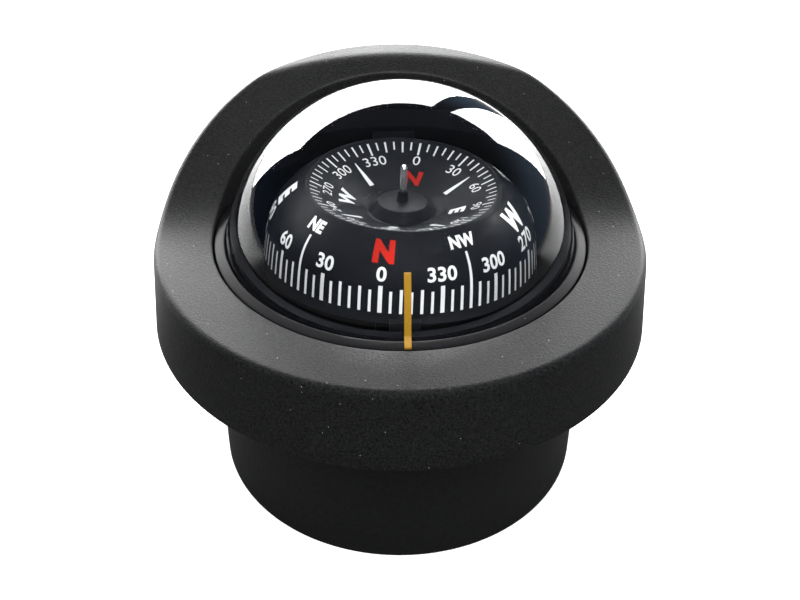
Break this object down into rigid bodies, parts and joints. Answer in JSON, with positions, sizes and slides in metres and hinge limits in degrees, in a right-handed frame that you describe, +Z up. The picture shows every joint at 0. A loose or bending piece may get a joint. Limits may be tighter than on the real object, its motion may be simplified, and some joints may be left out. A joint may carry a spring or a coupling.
{
  "type": "binnacle compass",
  "caption": "Hooded flush-mounting marine compass: clear fluid-filled dome over a double-reading card on a pivot in an internal gimbal, in a round base case.",
  "frame": {"origin": "middle of the base case's lower edge, on which the compass stands", "axes": "+Z up through the dome's centre and the card's pivot, +Y towards the bow (the hooded side), +X to starboard"},
  "size_m": [0.18, 0.18, 0.1474],
  "materials": {
    "housing_plastic": "fine-grained satin black",
    "base_plastic": "leather-grained black",
    "gloss_black": "polished black",
    "clear_acrylic": "polished clear",
    "black_rubber": "matte",
    "amber_plastic": "satin amber",
    "dark_plastic": "moulded black",
    "card_plastic": "matte black with white marks",
    "foam_plastic": "closed-cell foam",
    "stainless": "bright",
    "brass": "turned",
    "magnet_alloy": "ground grey",
    "weight_metal": "dull grey",
    "green_plastic": "moulded green",
    "lamp_plastic": "milky"
  },
  "bodies": {
    "case": {"hood_housing": "housing_plastic", "base_case": "base_plastic", "deck_flange": "base_plastic", "base_cap": "base_plastic", "cap_screw_1": "stainless", "cap_screw_2": "stainless", "cap_screw_3": "stainless", "cap_screw_4": "stainless", "housing_screw_1": "stainless", "housing_screw_2": "stainless", "housing_screw_3": "stainless", "housing_screw_4": "stainless", "deck_gasket": "black_rubber", "dome": "clear_acrylic", "dome_seal": "black_rubber", "capsule_bowl": "dark_plastic", "bezel_ring": "gloss_black", "retaining_ring": "dark_plastic", "lubber_strip": "amber_plastic", "diaphragm": "black_rubber", "diaphragm_ring": "stainless", "fill_plug": "brass", "lamp_window": "clear_acrylic", "lamp_holder": "dark_plastic", "lamp_led": "lamp_plastic", "cable_gland": "dark_plastic", "gland_nut": "dark_plastic", "trunnion_left": "dark_plastic", "trunnion_right": "dark_plastic", "pitch_pin_left": "stainless", "pitch_pin_right": "stainless", "compensator_block": "green_plastic"},
    "outer_gimbal": {"gimbal_ring": "dark_plastic", "roll_pin_front": "stainless", "roll_pin_back": "stainless"},
    "inner_gimbal": {"cradle": "dark_plastic", "pivot_stem": "stainless", "counterweight": "weight_metal"},
    "card": {"card_shell": "card_plastic", "card_float": "foam_plastic", "jewel_cup": "brass", "hub_pin": "stainless", "card_magnet_west": "magnet_alloy", "card_magnet_east": "magnet_alloy"},
    "ns_adjuster": {"ns_rod": "brass", "ns_magnet": "magnet_alloy"},
    "ew_adjuster": {"ew_rod": "brass", "ew_magnet": "magnet_alloy"}
  },
  "joints": [
    {"name": "gimbal_pitch", "type": "hinge", "parent": "case", "child": "outer_gimbal", "pos_m": [0, 0, 0.0842], "axis": [1, 0, 0], "range_deg": [-30, 30]},
    {"name": "gimbal_roll", "type": "hinge", "parent": "outer_gimbal", "child": "inner_gimbal", "pos_m": [0, 0, 0.0842], "axis": [0, 1, 0], "range_deg": [-30, 30]},
    {"name": "card_turn", "type": "hinge", "parent": "inner_gimbal", "child": "card", "pos_m": [0, 0, 0.0842], "axis": [0, 0, 1], "continuous": true},
    {"name": "ns_adjust", "type": "hinge", "parent": "case", "child": "ns_adjuster", "pos_m": [0, 0.0674, 0.0093], "axis": [0, 1, 0], "continuous": true},
    {"name": "ew_adjust", "type": "hinge", "parent": "case", "child": "ew_adjuster", "pos_m": [-0.0674, 0, 0.0179], "axis": [-1, 0, 0], "continuous": true}
  ]
}
